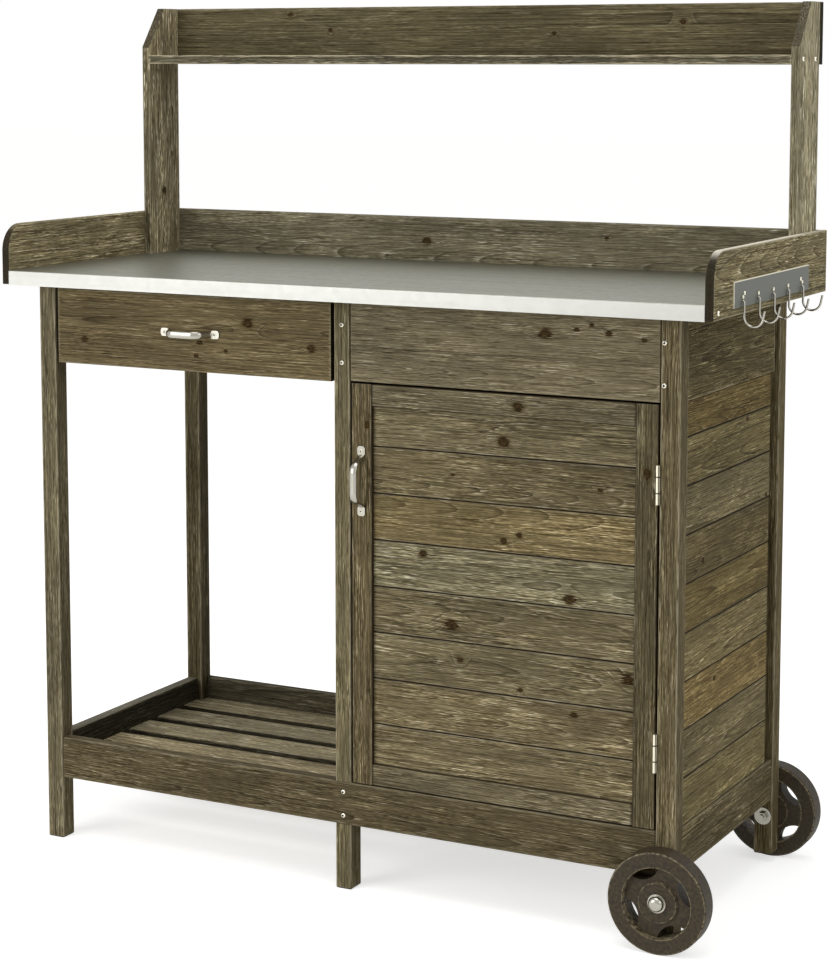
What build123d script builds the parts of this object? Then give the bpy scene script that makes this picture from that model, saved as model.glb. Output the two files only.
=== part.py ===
# Potting bench: stained fir frame, galvanised worktop, drawer, plank cupboard and two wheels.
# Millimetres. +X to the right, +Y to the back, +Z up, the floor at z = 0.
import os
from math import ceil, cos, radians, sin

from build123d import *

os.makedirs("parts", exist_ok=True)

# Worktop and the boards round it
worktop_length = 1116
worktop_depth = 452
worktop_height = 880
worktop_edge = 22
sheet_t = 1.0
sheet_fold = 1.8
sheet_notch_gap = 0.5
worktop_plank_count = 4
side_board_t = 12
side_board_height = 90
side_board_lift = 1
side_board_round = 40
back_board_t = 14
backsplash_height = 90

# Uprights and top shelf
upright_t = 13
upright_depth = 87
top_height = 1279
top_shelf_height = 1203
top_shelf_t = 14
upright_slant_start = 12
upright_top_flat = 40

# Legs and frame
leg = 28
leg_overhang = 40
leg_setback = 22
leg_spread = 424
post_width = 25
post_depth = 30
drawer_bay = 483
front_recess = 1
wheel_leg_lift = 12
rail_bottom = 97
rail_height = 63
rail_t = 18
thin_rail_t = 12
apron_height = 113
apron_t = 18
batten = 15
wide_batten = 46
wide_batten_t = 18

# Slatted shelf
slat_width = 58
slat_t = 14
slat_gap = 22.3
slat_count = 5
slat_end_gap = 1
cleat_width = 15
bearer_width = 18
shelf_drop = 36

# Tongue and groove planks
plank_pitch = 67
plank_t = 10
plank_gap = 0.4
plank_least = 12
plank_bevel = 1.5
tongue_t = 3
tongue_height = 4
tongue_play = 0.3
side_plank_recess = 4
side_apron_recess = 2
side_plank_stop = 26
side_apron_stop = 18

# Door
door_gap = 3
door_foot_gap = 2
door_t = 18
door_stile = 32.5
door_rail = 31
door_plank_recess = 6
door_plank_tuck = 8.5
door_plank_play = 0.3

# Hinges
hinge_height = 53
hinge_inset = 107
hinge_barrel_r = 3
hinge_pin_r = 1.4
hinge_play = 0.06
hinge_knuckle = 22
hinge_leaf_t = 1.1
hinge_leaf_depth = 20
hinge_clear = 0.3

# Drawer
drawer_gap = 5.5
drawer_front_t = 18
drawer_drop = 3
drawer_top_gap = 3
drawer_side_t = 12
drawer_side_height = 85
drawer_length = 359
drawer_inset = 8
drawer_floor_t = 4
drawer_floor_lift = 8
drawer_groove = 5
runner_lift = 3
runner_t = 12
runner_guide = 42
runner_play = 0.4

# Bow handles
handle_centres = 86.5
handle_plate_w = 14
handle_plate_h = 12
handle_plate_t = 2
handle_plate_round = 4
handle_reach = 25.5
handle_lean = 12
handle_bow_r = 16
handle_bar_w = 10.5
handle_bar_t = 5
door_handle_drop = 139

# Magnetic catch
catch_width = 30
catch_depth = 14
catch_height = 48
catch_drop = 22
catch_inset = 24
strike_t = 1
strike_height = 16
strike_gap = 0.4

# Wheels and axles
wheel_r = 71
wheel_w = 30
wheel_gap = 2
tread_round = 3
recess_r = 49.5
recess_depth = 8
hub_r = 27.5
hub_depth = 4
lens_length = 43
lens_inner_r = 34
lens_edge = 0.6
lens_count = 4
front_lens_start = 25
rear_lens_start = 48
axle_r = 4
axle_play = 0.08
bolt_hole_play = 0.1
washer_r = 13
washer_t = 1.6
washer_clear = 0.2
bolt_head_r = 11
bolt_head_h = 9
nut_across = 13
nut_h = 6.5
bolt_tail = 3

# Tool hooks
hook_plate_length = 308
hook_plate_height = 36
hook_plate_t = 2
hook_plate_front = 72
hook_plate_lift = 10
hook_count = 5
hook_pitch = 61
hook_wire = 3.2
hook_elbow_r = 2.6
hook_bend_r = 13.2
hook_fall = 21
hook_tip = 12
hook_lean = 12
hook_root_lift = 8

edge_ease = 1.0
foot_ease = 2.0

# Places along X, from the left side board's outer face to the hook tips
lean = radians(hook_lean)
hook_flare = hook_tip * sin(lean) + hook_wire / 2 * cos(lean)
hook_reach = hook_elbow_r + hook_bend_r * (1 + cos(lean)) + hook_flare
total_length = worktop_length + 2 * side_board_t + hook_plate_t + hook_reach
left_out = -total_length / 2
left_in = left_out + side_board_t
right_in = left_in + worktop_length
right_out = right_in + side_board_t
left_leg = left_in + leg_overhang
left_leg_in = left_leg + leg
right_leg_out = right_in - leg_overhang
right_leg = right_leg_out - leg
post_left = left_leg_in + drawer_bay
post_right = post_left + post_width
post_mid = (post_left + post_right) / 2

# Places along Y, level with the middle of the legs, which is halfway between the two wheels
leg_front = -leg_spread / 2
leg_front_back = leg_front + leg
rear_leg_back = leg_front + leg_spread
rear_leg = rear_leg_back - leg
worktop_front = leg_front - leg_setback
worktop_back = worktop_front + worktop_depth
upright_front = worktop_back - upright_depth
board_back = worktop_back + back_board_t
face = leg_front + front_recess
post_back = face + post_depth

# Heights
leg_top = worktop_height - worktop_edge
side_board_bottom = leg_top + side_board_lift
apron_bottom = leg_top - apron_height
rail_top = rail_bottom + rail_height
slat_top = rail_top - shelf_drop
slat_bottom = slat_top - slat_t


def finish(piece, label):
    piece.part.label = label
    export_step(piece.part, f"parts/{label}.step")


# A sawn board between three pairs of limits, with the four edges along its grain eased
def board(label, x, y, z, grain):
    with BuildPart() as piece:
        with BuildSketch(Plane.XY.offset(z[0])):
            with Locations(((x[0] + x[1]) / 2, (y[0] + y[1]) / 2)):
                Rectangle(x[1] - x[0], y[1] - y[0])
        extrude(amount=z[1] - z[0])
        chamfer(piece.edges().filter_by(grain), edge_ease)
    finish(piece, label)


# Several boards of one height in one node, given as pairs of X and Y limits
def boards(label, plans, z, grain):
    with BuildPart() as pieces:
        with BuildSketch(Plane.XY.offset(z[0])):
            for x, y in plans:
                with Locations(((x[0] + x[1]) / 2, (y[0] + y[1]) / 2)):
                    Rectangle(x[1] - x[0], y[1] - y[0])
        extrude(amount=z[1] - z[0])
        chamfer(pieces.edges().filter_by(grain), edge_ease)
    finish(pieces, label)


# Section of one tongue and groove plank: local x from its back to its front, local y upwards
def plank_section(bottom, top, has_groove, has_tongue):
    mid = plank_t / 2 - plank_bevel / 2
    slot = tongue_t / 2 + tongue_play
    tongue = tongue_t / 2
    points = [(0, bottom)]
    if has_groove:
        depth = tongue_height + tongue_play
        points += [(mid - slot, bottom), (mid - slot, bottom + depth)]
        points += [(mid + slot, bottom + depth), (mid + slot, bottom)]
    points += [(plank_t - plank_bevel, bottom), (plank_t, bottom + plank_bevel)]
    points += [(plank_t, top - plank_bevel), (plank_t - plank_bevel, top)]
    if has_tongue:
        tip = top + tongue_height
        points += [(mid + tongue, top), (mid + tongue, tip)]
        points += [(mid - tongue, tip), (mid - tongue, top)]
    return points + [(0, top)]


# A wall of planks on a plane whose normal runs along the planks, filled from the bottom up, with the
# top plank ripped to the height that is left
def plank_wall(label, plane, length, height):
    count = ceil((height - plank_least) / plank_pitch)
    with BuildPart() as wall:
        with BuildSketch(plane):
            for row in range(count):
                bottom = row * plank_pitch
                last = row == count - 1
                top = height if last else bottom + plank_pitch - plank_gap
                with BuildLine():
                    Polyline(*plank_section(bottom, top, row > 0, not last), close=True)
                make_face()
        extrude(amount=length)
    finish(wall, label)


# Corner legs: the two on the right stand clear of the floor and take the axle bolts
axle_x = right_leg + leg / 2
axle_z = wheel_r
for end, near in (("front", leg_front), ("rear", rear_leg)):
    for side, x, lift in (("left", left_leg, 0), ("right", right_leg, wheel_leg_lift)):
        with BuildPart() as corner_leg:
            with BuildSketch(Plane.XY.offset(lift)):
                with Locations((x + leg / 2, near + leg / 2)):
                    Rectangle(leg, leg)
            extrude(amount=leg_top - lift)
            chamfer(corner_leg.faces().sort_by(Axis.Z)[0].edges(), foot_ease)
            chamfer(corner_leg.edges().filter_by(Axis.Z), edge_ease)
            if side == "right":
                with BuildSketch(Plane((axle_x, near, axle_z), z_dir=(0, 1, 0))):
                    Circle(axle_r + bolt_hole_play)
                extrude(amount=leg, mode=Mode.SUBTRACT)
        finish(corner_leg, f"{end}_{side}_leg")

# Middle posts, lapped over the long bottom rails
rear_rail_front = rear_leg_back - thin_rail_t
for label, y, notch in (
    ("front_middle_post", (face, post_back), (face, face + rail_t)),
    ("rear_middle_post", (rear_leg, rear_leg_back), (rear_rail_front, rear_leg_back)),
):
    with BuildPart() as post:
        with BuildSketch():
            with Locations((post_mid, (y[0] + y[1]) / 2)):
                Rectangle(post_width, y[1] - y[0])
        extrude(amount=leg_top)
        chamfer(post.faces().sort_by(Axis.Z)[0].edges(), foot_ease)
        chamfer(post.edges().filter_by(Axis.Z), edge_ease)
        with BuildSketch(Plane.XY.offset(rail_bottom)):
            with Locations((post_mid, (notch[0] + notch[1]) / 2)):
                Rectangle(post_width, notch[1] - notch[0])
        extrude(amount=rail_height, mode=Mode.SUBTRACT)
    finish(post, label)

# Bottom rails
rail_z = (rail_bottom, rail_top)
between_legs_x = (left_leg_in, right_leg)
between_legs_y = (leg_front_back, rear_leg)
left_rail_in = left_leg + front_recess + rail_t
right_skin = right_leg_out - side_plank_recess - plank_t
board("front_bottom_rail", between_legs_x, (face, face + rail_t), rail_z, Axis.X)
board("rear_bottom_rail", between_legs_x, (rear_rail_front, rear_leg_back), rail_z, Axis.X)
board("left_bottom_rail", (left_leg + front_recess, left_rail_in), between_legs_y, rail_z, Axis.Y)
right_rail_x = (right_skin, right_skin + thin_rail_t)
board("right_bottom_rail", right_rail_x, between_legs_y, rail_z, Axis.Y)

# Slats on cleats, the back one notched round the rear legs
slat_back = rear_rail_front
slat_x = (left_rail_in + slat_end_gap, right_skin - slat_end_gap)
with BuildPart() as slats:
    with BuildSketch(Plane.XY.offset(slat_bottom)):
        for row in range(slat_count):
            back = slat_back - row * (slat_width + slat_gap)
            with Locations(((slat_x[0] + slat_x[1]) / 2, back - slat_width / 2)):
                Rectangle(slat_x[1] - slat_x[0], slat_width)
    extrude(amount=slat_t)
    chamfer(slats.edges().filter_by(Axis.X), edge_ease)
    with BuildSketch(Plane.XY.offset(slat_bottom)):
        for x, width in ((left_leg + leg / 2, leg), (post_mid, post_width), (right_leg + leg / 2, leg)):
            with Locations((x, rear_leg + leg / 2)):
                Rectangle(width + 2 * slat_end_gap, leg + 2 * slat_end_gap)
    extrude(amount=slat_t, mode=Mode.SUBTRACT)
finish(slats, "shelf_slats")

cleat_plans = [
    ((left_rail_in, left_rail_in + cleat_width), between_legs_y),
    ((right_skin - cleat_width, right_skin), between_legs_y),
    ((post_mid - bearer_width / 2, post_mid + bearer_width / 2), (post_back, rear_leg)),
]
boards("shelf_cleats", cleat_plans, (rail_bottom, slat_bottom), Axis.Y)

# Worktop: planks under a folded galvanised sheet, which is notched round the feet of the uprights
planks_top = worktop_height - sheet_t
plank_step = (worktop_depth - sheet_t) / worktop_plank_count
worktop_plans = []
for row in range(worktop_plank_count):
    near = worktop_front + sheet_t + row * plank_step
    worktop_plans.append(((left_in, right_in), (near, near + plank_step - plank_gap)))
boards("worktop_planks", worktop_plans, (leg_top, planks_top), Axis.X)

with BuildPart() as worktop_sheet:
    with BuildSketch(Plane.YZ.offset(left_in)):
        with BuildLine():
            Polyline(
                (worktop_front, leg_top),
                (worktop_front, worktop_height),
                (worktop_back, worktop_height),
                (worktop_back, planks_top),
                (worktop_front + sheet_t, planks_top),
                (worktop_front + sheet_t, leg_top),
                close=True,
            )
        make_face()
    extrude(amount=worktop_length)
    outer_fold = worktop_sheet.edges().filter_by(Axis.X).group_by(Axis.Z)[-1].sort_by(Axis.Y)[0]
    fillet(outer_fold, sheet_fold)
    notch_width = upright_t + sheet_notch_gap
    notch_depth = upright_depth + sheet_notch_gap
    with BuildSketch(Plane.XY.offset(planks_top)):
        for x in (left_in + notch_width / 2, right_in - notch_width / 2):
            with Locations((x, worktop_back - notch_depth / 2)):
                Rectangle(notch_width, notch_depth)
    extrude(amount=sheet_t, mode=Mode.SUBTRACT)
finish(worktop_sheet, "worktop_sheet")

# Side boards with a rounded front corner
for label, x in (("left_side_board", left_out), ("right_side_board", right_in)):
    with BuildPart() as side_board:
        with BuildSketch(Plane.YZ.offset(x)) as outline:
            with Locations(((worktop_front + board_back) / 2, side_board_bottom + side_board_height / 2)):
                Rectangle(board_back - worktop_front, side_board_height)
            fillet(outline.vertices().sort_by(Axis.X)[:2].sort_by(Axis.Y)[-1], side_board_round)
        extrude(amount=side_board_t)
        chamfer(side_board.faces().filter_by(Axis.X).edges(), edge_ease)
    finish(side_board, label)

board(
    "backsplash",
    (left_in, right_in),
    (worktop_back, board_back),
    (side_board_bottom, side_board_bottom + backsplash_height),
    Axis.X,
)

# Uprights with a slanted top, the shelf between them and the board behind
for label, x in (("left_upright", left_in), ("right_upright", right_in - upright_t)):
    with BuildPart() as upright:
        with BuildSketch(Plane.YZ.offset(x)):
            with BuildLine():
                Polyline(
                    (upright_front, planks_top),
                    (worktop_back, planks_top),
                    (worktop_back, top_height),
                    (worktop_back - upright_top_flat, top_height),
                    (upright_front, top_shelf_height + upright_slant_start),
                    close=True,
                )
            make_face()
        extrude(amount=upright_t)
        chamfer(upright.edges().filter_by(Axis.Z), edge_ease)
    finish(upright, label)

shelf_bottom = top_shelf_height - top_shelf_t
shelf_x = (left_in + upright_t, right_in - upright_t)
board("top_shelf", shelf_x, (upright_front, worktop_back), (shelf_bottom, top_shelf_height), Axis.X)
board("shelf_back_board", (left_in, right_in), (worktop_back, board_back), (shelf_bottom, top_height), Axis.X)

# Aprons under the worktop and the divider between the middle posts
apron_z = (apron_bottom, leg_top)
left_apron_in = left_leg + side_apron_recess + apron_t
rear_apron_y = (rear_leg_back - apron_t, rear_leg_back)
board("front_apron", (post_right, right_leg), (face, face + apron_t), apron_z, Axis.X)
board("left_apron", (left_leg + side_apron_recess, left_apron_in), between_legs_y, apron_z, Axis.Y)
right_apron_y = (leg_front_back, rear_leg - side_apron_stop)
board("right_apron", right_rail_x, right_apron_y, apron_z, Axis.Y)
rear_plans = [((left_leg_in, post_left), rear_apron_y), ((post_right, right_leg), rear_apron_y)]
boards("rear_aprons", rear_plans, apron_z, Axis.X)
divider_x = (post_mid - apron_t / 2, post_mid + apron_t / 2)
board("divider", divider_x, (post_back, rear_leg), apron_z, Axis.Y)

# Right side wall: planks on the rail, held by two battens
wall_height = apron_bottom - rail_top - plank_gap
wall_back = rear_leg - side_plank_stop
side_plane = Plane((right_skin, wall_back, rail_top), x_dir=(1, 0, 0), z_dir=(0, -1, 0))
plank_wall("side_planks", side_plane, wall_back - leg_front_back, wall_height)
side_batten_x = (right_skin - wide_batten_t, right_skin)
side_batten_plans = [
    (side_batten_x, (leg_front_back, leg_front_back + wide_batten_t)),
    (side_batten_x, (rear_leg - wide_batten, rear_leg)),
]
boards("side_battens", side_batten_plans, (slat_top, leg_top), Axis.Z)

# Partition between the open bay and the cupboard
inner_height = apron_bottom - slat_top - plank_gap
partition_right = post_mid + plank_t / 2
partition_plane = Plane((partition_right, post_back, slat_top), x_dir=(-1, 0, 0), z_dir=(0, 1, 0))
plank_wall("partition_planks", partition_plane, rear_leg - post_back, inner_height)
partition_batten_x = (partition_right, partition_right + batten)
partition_plans = [
    (partition_batten_x, (post_back, post_back + batten)),
    (partition_batten_x, (rear_leg - batten, rear_leg)),
]
boards("partition_battens", partition_plans, (slat_top, apron_bottom), Axis.Z)

# Back wall of the cupboard
back_skin = rear_rail_front - plank_t
back_plane = Plane((post_right, back_skin, slat_top), x_dir=(0, 1, 0), z_dir=(1, 0, 0))
plank_wall("back_planks", back_plane, right_leg - post_right, inner_height)
back_batten_y = (back_skin - batten, back_skin)
back_plans = [
    ((partition_batten_x[1], partition_batten_x[1] + batten), back_batten_y),
    ((side_batten_x[0] - batten, side_batten_x[0]), back_batten_y),
]
boards("back_battens", back_plans, (slat_top, apron_bottom), Axis.Z)

# Door frame: stiles and rails rebated at the back for the planks
door_x = (post_right + door_gap, right_leg - door_gap)
door_z = (rail_top + door_foot_gap, apron_bottom - door_gap)
door_back = face + door_t
opening_x = (door_x[0] + door_stile, door_x[1] - door_stile)
opening_z = (door_z[0] + door_rail, door_z[1] - door_rail)
rebate = door_plank_tuck + door_plank_play
rebate_front = face + door_plank_recess - door_plank_play
rebate_x = (opening_x[0] - rebate, opening_x[1] + rebate)
rebate_z = (opening_z[0] - rebate, opening_z[1] + rebate)
for label, x in (
    ("door_left_stile", (door_x[0], opening_x[0])),
    ("door_right_stile", (opening_x[1], door_x[1])),
):
    with BuildPart() as stile:
        with BuildSketch(Plane.XY.offset(door_z[0])):
            with Locations(((x[0] + x[1]) / 2, (face + door_back) / 2)):
                Rectangle(door_stile, door_t)
        extrude(amount=door_z[1] - door_z[0])
        chamfer(stile.edges().filter_by(Axis.Z), edge_ease)
        with BuildSketch(Plane.XY.offset(rebate_z[0])):
            with Locations(((rebate_x[0] + rebate_x[1]) / 2, (rebate_front + door_back) / 2)):
                Rectangle(rebate_x[1] - rebate_x[0], door_back - rebate_front)
        extrude(amount=rebate_z[1] - rebate_z[0], mode=Mode.SUBTRACT)
    finish(stile, label)

for label, z in (
    ("door_bottom_rail", (door_z[0], opening_z[0])),
    ("door_top_rail", (opening_z[1], door_z[1])),
):
    with BuildPart() as rail:
        with BuildSketch(Plane.YZ.offset(opening_x[0])):
            with Locations(((face + door_back) / 2, (z[0] + z[1]) / 2)):
                Rectangle(door_t, door_rail)
        extrude(amount=opening_x[1] - opening_x[0])
        chamfer(rail.edges().filter_by(Axis.X), edge_ease)
        with BuildSketch(Plane.YZ.offset(opening_x[0])):
            with Locations(((rebate_front + door_back) / 2, (rebate_z[0] + rebate_z[1]) / 2)):
                Rectangle(door_back - rebate_front, rebate_z[1] - rebate_z[0])
        extrude(amount=opening_x[1] - opening_x[0], mode=Mode.SUBTRACT)
    finish(rail, label)

door_plank_front = face + door_plank_recess
tuck_x = (opening_x[0] - door_plank_tuck, opening_x[1] + door_plank_tuck)
tuck_z = (opening_z[0] - door_plank_tuck, opening_z[1] + door_plank_tuck)
door_plane = Plane(
    (tuck_x[1], door_plank_front + plank_t, tuck_z[0]), x_dir=(0, -1, 0), z_dir=(-1, 0, 0)
)
plank_wall("door_planks", door_plane, tuck_x[1] - tuck_x[0], tuck_z[1] - tuck_z[0])

# Butt hinges with their barrels in front of the gap between door and leg
hinge_x = right_leg - door_gap / 2
hinge_y = leg_front - hinge_barrel_r - hinge_clear
leaf_front = leg_front
hinge_middles = (door_z[0] + hinge_inset, door_z[1] - hinge_inset)
end_knuckle = (hinge_height - hinge_knuckle) / 2


# Leaves on one side of the gap: x limits of the leaf, and its knuckles as pairs of heights
def hinge_leaves(label, leaf_x, knuckles):
    with BuildPart() as leaves:
        for middle in hinge_middles:
            with BuildSketch(Plane.XY.offset(middle - hinge_height / 2)):
                with Locations(((leaf_x[0] + leaf_x[1]) / 2, leaf_front + hinge_leaf_depth / 2)):
                    Rectangle(hinge_leaf_t, hinge_leaf_depth)
            extrude(amount=hinge_height)
            for low, high in knuckles:
                with BuildSketch(Plane.XY.offset(middle + low)):
                    with Locations((hinge_x, hinge_y)):
                        Circle(hinge_barrel_r)
                    with Locations(((leaf_x[0] + leaf_x[1]) / 2, (hinge_y + leaf_front) / 2)):
                        Rectangle(hinge_leaf_t, leaf_front - hinge_y)
                    with Locations((hinge_x, hinge_y)):
                        Circle(hinge_pin_r + hinge_play, mode=Mode.SUBTRACT)
                extrude(amount=high - low)
    finish(leaves, label)


half = hinge_height / 2
frame_knuckles = ((-half, -half + end_knuckle), (half - end_knuckle, half))
door_knuckles = ((-hinge_knuckle / 2 + hinge_clear, hinge_knuckle / 2 - hinge_clear),)
hinge_leaves("hinge_frame_leaves", (right_leg - hinge_leaf_t, right_leg), frame_knuckles)
hinge_leaves("hinge_door_leaves", (door_x[1], door_x[1] + hinge_leaf_t), door_knuckles)

with BuildPart() as hinge_pins:
    for middle in hinge_middles:
        with BuildSketch(Plane.XY.offset(middle - half)):
            with Locations((hinge_x, hinge_y)):
                Circle(hinge_pin_r)
        extrude(amount=hinge_height)
finish(hinge_pins, "hinge_pins")


# A bow handle on a plane that lies on the wood, looks outwards and runs along the handle. Its bow springs
# from the inner edges of two screwed plates and is cut off level with the wood.
def bow_handle(label, plane):
    bow = Plane(plane.origin, x_dir=plane.x_dir, z_dir=-plane.y_dir)
    foot = (handle_centres - handle_plate_w) / 2
    shoulder = foot - handle_lean
    with BuildPart() as handle:
        with BuildLine(bow) as path:
            FilletPolyline(
                (-foot, 0),
                (-shoulder, handle_reach),
                (shoulder, handle_reach),
                (foot, 0),
                radius=handle_bow_r,
            )
        with BuildSketch(Plane(path.line @ 0, x_dir=plane.y_dir, z_dir=path.line % 0)):
            Ellipse(handle_bar_w / 2, handle_bar_t / 2)
        sweep(path=path.line)
        split(bisect_by=plane, keep=Keep.TOP)
        with BuildSketch(plane):
            with GridLocations(handle_centres, 0, 2, 1):
                RectangleRounded(handle_plate_w, handle_plate_h, handle_plate_round)
        extrude(amount=handle_plate_t)
    finish(handle, label)


# Door handle on the left stile, level with the second and third planks
door_handle_z = door_z[1] - door_handle_drop
stile_mid = (door_x[0] + opening_x[0]) / 2
door_handle_plane = Plane((stile_mid, face, door_handle_z), x_dir=(0, 0, 1), z_dir=(0, -1, 0))
bow_handle("door_handle", door_handle_plane)

# Magnetic catch behind the front apron, and its strike on the door
catch_x = door_x[0] + catch_inset
strike_back = door_back + strike_t
with BuildPart() as catch:
    with BuildSketch(Plane.YZ.offset(catch_x)):
        with BuildLine():
            Polyline(
                (face + apron_t, apron_bottom),
                (face + apron_t, apron_bottom + catch_height - catch_drop),
                (face + apron_t + catch_depth, apron_bottom + catch_height - catch_drop),
                (face + apron_t + catch_depth, apron_bottom - catch_drop),
                (strike_back + strike_gap, apron_bottom - catch_drop),
                (strike_back + strike_gap, apron_bottom),
                close=True,
            )
        make_face()
    extrude(amount=catch_width)
finish(catch, "catch_body")

strike_bottom = apron_bottom - catch_drop
with BuildPart() as strike:
    with BuildSketch(Plane.XY.offset(strike_bottom)):
        with Locations((catch_x + catch_width / 2, (door_back + strike_back) / 2)):
            Rectangle(catch_width, strike_t)
    extrude(amount=strike_height)
finish(strike, "catch_strike")

# Drawer on two L-shaped runners
drawer_x = (left_leg_in + drawer_gap, post_left - drawer_gap)
drawer_z = (apron_bottom - drawer_drop, leg_top - drawer_top_gap)
drawer_back = face + drawer_front_t
side_bottom = apron_bottom + runner_lift + runner_t + runner_play
side_top = side_bottom + drawer_side_height
box_x = (drawer_x[0] + drawer_inset, drawer_x[1] - drawer_inset)
box_end = drawer_back + drawer_length
board("drawer_front", drawer_x, (face, drawer_back), drawer_z, Axis.X)

floor_z = side_bottom + drawer_floor_lift
for label, outer, inner in (
    ("drawer_left_side", box_x[0], box_x[0] + drawer_side_t),
    ("drawer_right_side", box_x[1], box_x[1] - drawer_side_t),
):
    toward_inside = 1 if inner > outer else -1
    with BuildPart() as drawer_side:
        with BuildSketch(Plane.XZ.offset(-drawer_back)):
            with Locations(((outer + inner) / 2, (side_bottom + side_top) / 2)):
                Rectangle(drawer_side_t, drawer_side_height)
            groove_mid = inner - toward_inside * drawer_groove / 2
            with Locations((groove_mid, floor_z + drawer_floor_t / 2)):
                Rectangle(drawer_groove, drawer_floor_t + 2 * tongue_play, mode=Mode.SUBTRACT)
        extrude(amount=-drawer_length)
    finish(drawer_side, label)

inside_x = (box_x[0] + drawer_side_t, box_x[1] - drawer_side_t)
floor_top = floor_z + drawer_floor_t
back_y = (box_end - drawer_side_t, box_end)
board("drawer_back", inside_x, back_y, (floor_top + tongue_play, side_top), Axis.X)
with BuildPart() as drawer_floor:
    with BuildSketch(Plane.XY.offset(floor_z)):
        with Locations(((inside_x[0] + inside_x[1]) / 2, (drawer_back + box_end) / 2)):
            Rectangle(inside_x[1] - inside_x[0] + 2 * (drawer_groove - tongue_play), drawer_length)
    extrude(amount=drawer_floor_t)
finish(drawer_floor, "drawer_floor")

drawer_mid_x = (drawer_x[0] + drawer_x[1]) / 2
drawer_mid_z = (drawer_z[0] + drawer_z[1]) / 2
bow_handle("drawer_handle", Plane((drawer_mid_x, face, drawer_mid_z), x_dir=(1, 0, 0), z_dir=(0, -1, 0)))

runner_bottom = apron_bottom + runner_lift
for label, wall, guide, inner, near in (
    ("left_runner", left_apron_in, box_x[0] - runner_play, inside_x[0], leg_front_back),
    ("right_runner", divider_x[0], box_x[1] + runner_play, inside_x[1], post_back),
):
    with BuildPart() as runner:
        with BuildSketch(Plane.XZ.offset(-near)):
            with BuildLine():
                Polyline(
                    (wall, runner_bottom),
                    (inner, runner_bottom),
                    (inner, runner_bottom + runner_t),
                    (guide, runner_bottom + runner_t),
                    (guide, runner_bottom + runner_guide),
                    (wall, runner_bottom + runner_guide),
                    close=True,
                )
            make_face()
        extrude(amount=near - rear_leg)
    finish(runner, label)

# Lens-shaped wheel opening: what the circle inside the recess shares with one standing further out
lens_outer_r = recess_r - lens_edge
lens_chord_r = (lens_outer_r**2 - (lens_length / 2) ** 2) ** 0.5
lens_rise = lens_chord_r - lens_inner_r
lens_arc_r = ((lens_length / 2) ** 2 + lens_rise**2) / (2 * lens_rise)
with BuildSketch(mode=Mode.PRIVATE) as lens:
    Circle(lens_outer_r)
    with Locations((lens_inner_r + lens_arc_r, 0)):
        Circle(lens_arc_r, mode=Mode.INTERSECT)


# A moulded wheel on a plane that lies on the leg's outer face and looks outwards along the axle
def wheel(label, leg_face, lens_start):
    inner = leg_face.offset(wheel_gap)
    outer = wheel_gap + wheel_w
    with BuildPart() as disc:
        with BuildSketch(inner):
            Circle(wheel_r)
        extrude(amount=wheel_w)
        fillet(disc.edges().filter_by(GeomType.CIRCLE), tread_round)
        with BuildSketch(leg_face.offset(outer - recess_depth)):
            Circle(recess_r)
            Circle(hub_r, mode=Mode.SUBTRACT)
        extrude(amount=recess_depth, mode=Mode.SUBTRACT)
        with BuildSketch(leg_face.offset(outer - hub_depth)):
            Circle(hub_r)
        extrude(amount=hub_depth, mode=Mode.SUBTRACT)
        with BuildSketch(inner):
            with PolarLocations(0, lens_count, start_angle=lens_start):
                add(lens.sketch)
            Circle(axle_r + axle_play)
        extrude(amount=wheel_w, mode=Mode.SUBTRACT)
    finish(disc, label)


# Places along the axle, from the leg's outer face outwards
hub_seat = wheel_gap + wheel_w - hub_depth + washer_clear
head_seat = hub_seat + washer_t
nut_seat = -leg - washer_t
bolt_end = nut_seat - nut_h - bolt_tail


# A domed axle bolt on the same plane as its wheel
def axle_bolt(label, leg_face):
    with BuildPart() as bolt:
        with BuildSketch(leg_face.offset(bolt_end)):
            Circle(axle_r)
        extrude(amount=head_seat - bolt_end)
        with BuildSketch(leg_face.offset(head_seat)):
            Circle(bolt_head_r)
        extrude(amount=bolt_head_h)
        rims = bolt.edges().filter_by(GeomType.CIRCLE).sort_by(SortBy.RADIUS)[-2:]
        fillet(rims.sort_by_distance(leg_face.origin)[-1], bolt_head_h - edge_ease)
    finish(bolt, label)


axle_faces = (
    Plane((axle_x, leg_front, axle_z), x_dir=(1, 0, 0), z_dir=(0, -1, 0)),
    Plane((axle_x, rear_leg_back, axle_z), x_dir=(-1, 0, 0), z_dir=(0, 1, 0)),
)
lens_starts = (front_lens_start, rear_lens_start)
for end, leg_face, lens_start in zip(("front", "rear"), axle_faces, lens_starts):
    wheel(f"{end}_wheel", leg_face, lens_start)
    axle_bolt(f"{end}_axle_bolt", leg_face)

# Washers under the head, between wheel and leg and under the nut
washer_seats = ((hub_seat, washer_t), (washer_clear, wheel_gap - 2 * washer_clear), (nut_seat, washer_t))
with BuildPart() as axle_washers:
    for leg_face in axle_faces:
        for height, thickness in washer_seats:
            with BuildSketch(leg_face.offset(height)):
                Circle(washer_r)
                Circle(axle_r + bolt_hole_play, mode=Mode.SUBTRACT)
            extrude(amount=thickness)
finish(axle_washers, "axle_washers")

with BuildPart() as axle_nuts:
    for leg_face in axle_faces:
        with BuildSketch(leg_face.offset(nut_seat - nut_h)):
            RegularPolygon(nut_across / 2, 6, major_radius=False)
            Circle(axle_r + bolt_hole_play, mode=Mode.SUBTRACT)
        extrude(amount=nut_h)
finish(axle_nuts, "axle_nuts")

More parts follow.
